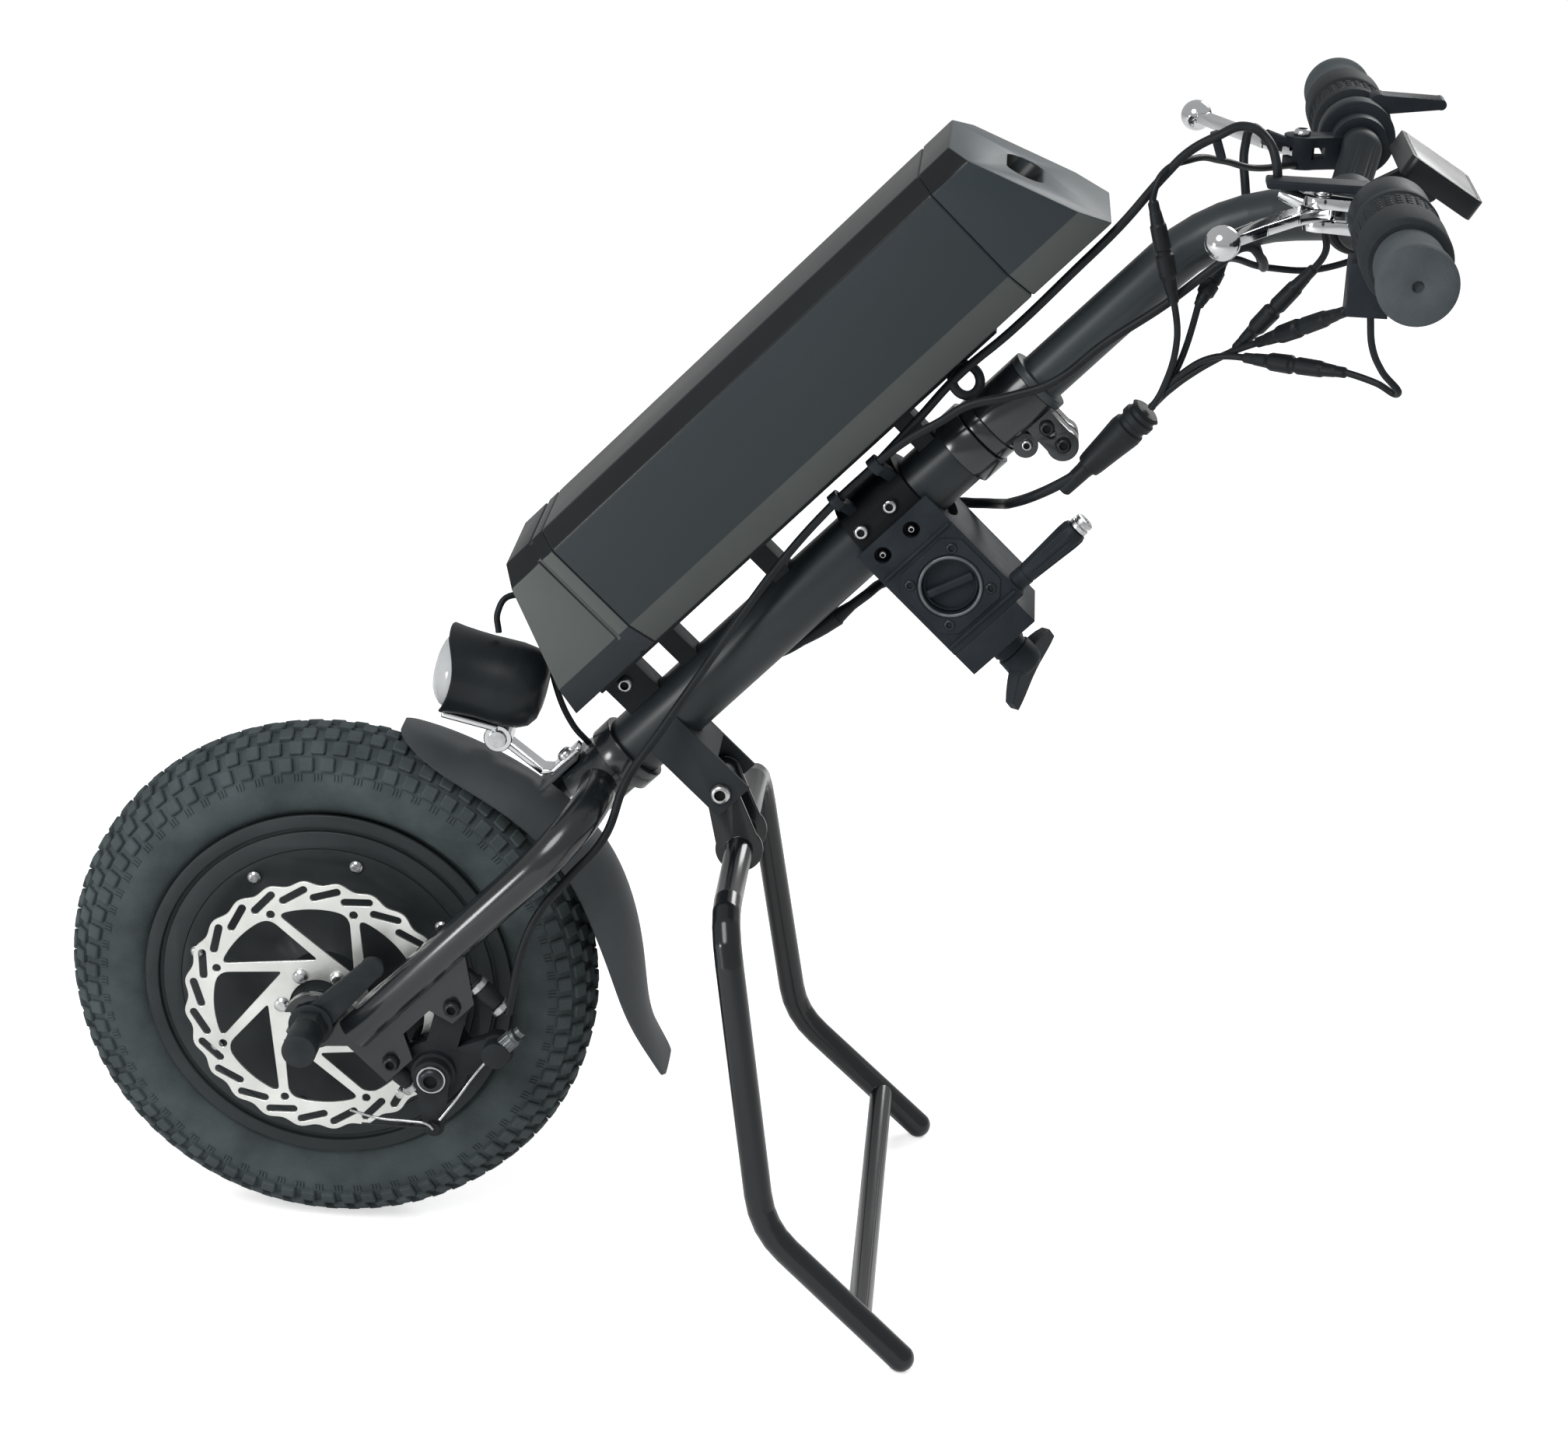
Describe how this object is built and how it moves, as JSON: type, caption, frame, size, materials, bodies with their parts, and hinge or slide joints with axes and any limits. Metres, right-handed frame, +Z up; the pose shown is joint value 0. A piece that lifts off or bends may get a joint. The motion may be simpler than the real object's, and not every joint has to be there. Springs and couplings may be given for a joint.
{
  "type": "wheelchair power assist",
  "caption": "Steered motor wheel with battery, handlebar, folding stand and a dock that couples it to the front of a manual wheelchair.",
  "frame": {"origin": "centre of the docking bore under the head tube", "axes": "+X towards the rider, +Y to the rider's right along the docking bore, +Z up"},
  "size_m": [0.7799, 0.5, 0.7094],
  "materials": {
    "black_paint": "gloss black paint",
    "dark_plastic": "fine matt grain",
    "battery_plastic": "fine matt grain",
    "base_plastic": "fine matt grain",
    "tyre_rubber": "matt rubber",
    "grip_rubber": "matt rubber",
    "cable_rubber": "satin sheath",
    "bright_chrome": "polished",
    "bare_steel": "brushed",
    "dark_alloy": "black anodised",
    "hub_alloy": "satin black paint on a casting",
    "clear_lens": "clear",
    "screen": "polished",
    "copper": "wound wire",
    "button_red": "polished"
  },
  "bodies": {
    "frame": {"main_tube": "black_paint", "stand_bracket": "black_paint", "headset_cups": "dark_alloy", "headset_bearings": "bare_steel", "battery_rail": "dark_alloy", "battery_base": "base_plastic", "tube_collar": "dark_alloy", "dock_block": "dark_plastic", "dock_cap": "dark_plastic", "dock_bush": "bare_steel", "frame_bolts": "bare_steel", "cable_clips": "dark_plastic", "cable_junction": "dark_plastic", "main_cable": "cable_rubber"},
    "battery": {"battery_case": "battery_plastic", "battery_cap": "battery_plastic", "battery_cells": "base_plastic"},
    "steering": {"steerer": "bare_steel", "fork": "black_paint", "axle": "bare_steel", "axle_nuts": "dark_alloy", "stator": "copper", "caliper_body": "dark_alloy", "brake_pads": "dark_alloy", "fork_bolts": "bare_steel", "mudguard": "dark_plastic", "light_bracket": "bright_chrome", "headset_nut": "dark_alloy", "stem_clamp": "black_paint", "riser": "black_paint", "handlebar": "black_paint", "grips": "grip_rubber", "lever_perches": "bright_chrome", "switch_housing": "dark_plastic", "throttle_housing": "dark_plastic", "display_case": "dark_plastic", "display_glass": "screen", "brake_cables": "cable_rubber", "bar_leads": "cable_rubber", "light_wire": "cable_rubber"},
    "wheel": {"tyre": "tyre_rubber", "hub_shell": "hub_alloy", "hub_covers": "hub_alloy", "cover_screws": "bare_steel", "magnet_ring": "bare_steel", "wheel_bearings": "bare_steel", "brake_rotor": "bare_steel", "rotor_bolts": "bare_steel"},
    "left_lever": {"left_brake_lever": "bright_chrome"},
    "right_lever": {"right_brake_lever": "bright_chrome"},
    "brake_arm": {"caliper_arm": "dark_alloy"},
    "headlight": {"headlight_body": "dark_plastic", "headlight_lens": "clear_lens"},
    "throttle": {"throttle_lever": "dark_plastic"},
    "stand": {"stand_legs": "black_paint"},
    "release": {"release_handle": "dark_plastic"},
    "knob": {"wing_knob": "dark_plastic"},
    "shoe": {"clamp_shoe": "copper"},
    "button": {"switch_button": "button_red"}
  },
  "joints": [
    {"name": "steer", "type": "hinge", "parent": "frame", "child": "steering", "pos_m": [-0.33723, 0, -0.29125], "axis": [0.682, 0, 0.7314], "range_deg": [-35, 35], "deforming": ["brake_cables", "bar_leads"]},
    {"name": "wheel_spin", "type": "hinge", "parent": "steering", "child": "wheel", "pos_m": [-0.35295, 0, -0.27659], "axis": [0, 1, 0], "continuous": true},
    {"name": "stand_fold", "type": "hinge", "parent": "frame", "child": "stand", "pos_m": [-0.12465, 0, -0.13748], "axis": [0, -1, 0], "range_deg": [0, 75]},
    {"name": "left_lever_pull", "type": "hinge", "parent": "steering", "child": "left_lever", "pos_m": [0.17948, -0.078, 0.23541], "axis": [0, 0, 1], "range_deg": [0, 20], "stiffness_Nm_per_rad": 1},
    {"name": "right_lever_pull", "type": "hinge", "parent": "steering", "child": "right_lever", "pos_m": [0.17948, 0.078, 0.23541], "axis": [0, 0, -1], "range_deg": [0, 20], "stiffness_Nm_per_rad": 1},
    {"name": "brake_arm_turn", "type": "hinge", "parent": "steering", "child": "brake_arm", "pos_m": [-0.28191, -0.072, -0.30524], "axis": [0, -1, 0], "range_deg": [0, 20]},
    {"name": "headlight_tilt", "type": "hinge", "parent": "steering", "child": "headlight", "pos_m": [-0.2564, 0, -0.11777], "axis": [0, 1, 0], "range_deg": [-10, 10], "deforming": ["light_wire"]},
    {"name": "throttle_turn", "type": "hinge", "parent": "steering", "child": "throttle", "pos_m": [0.21248, 0.116, 0.23941], "axis": [0, 1, 0], "range_deg": [0, 45], "stiffness_Nm_per_rad": 0.3},
    {"name": "battery_slide", "type": "slide", "parent": "frame", "child": "battery", "axis": [0.682, 0, 0.7314], "range_m": [0, 0.025]},
    {"name": "release_pull", "type": "slide", "parent": "frame", "child": "release", "axis": [0.682, 0, 0.7314], "range_m": [0, 0.008], "stiffness_N_per_m": 800},
    {"name": "knob_turn", "type": "hinge", "parent": "frame", "child": "knob", "pos_m": [0.01826, 0, -0.0266], "axis": [-0.7314, 0, 0.682], "range_deg": [0, 720]},
    {"name": "shoe_clamp", "type": "slide", "parent": "frame", "child": "shoe", "axis": [-0.7314, 0, 0.682], "range_m": [0, 0.004]},
    {"name": "button_press", "type": "slide", "parent": "steering", "child": "button", "axis": [-1, 0, 0], "range_m": [0, 0.0015], "stiffness_N_per_m": 600}
  ],
  "couplings": [
    {"joint": "brake_arm_turn", "follows": "left_lever_pull", "ratio": 1},
    {"joint": "shoe_clamp", "follows": "knob_turn", "m_per_rad": 0.00031831}
  ]
}
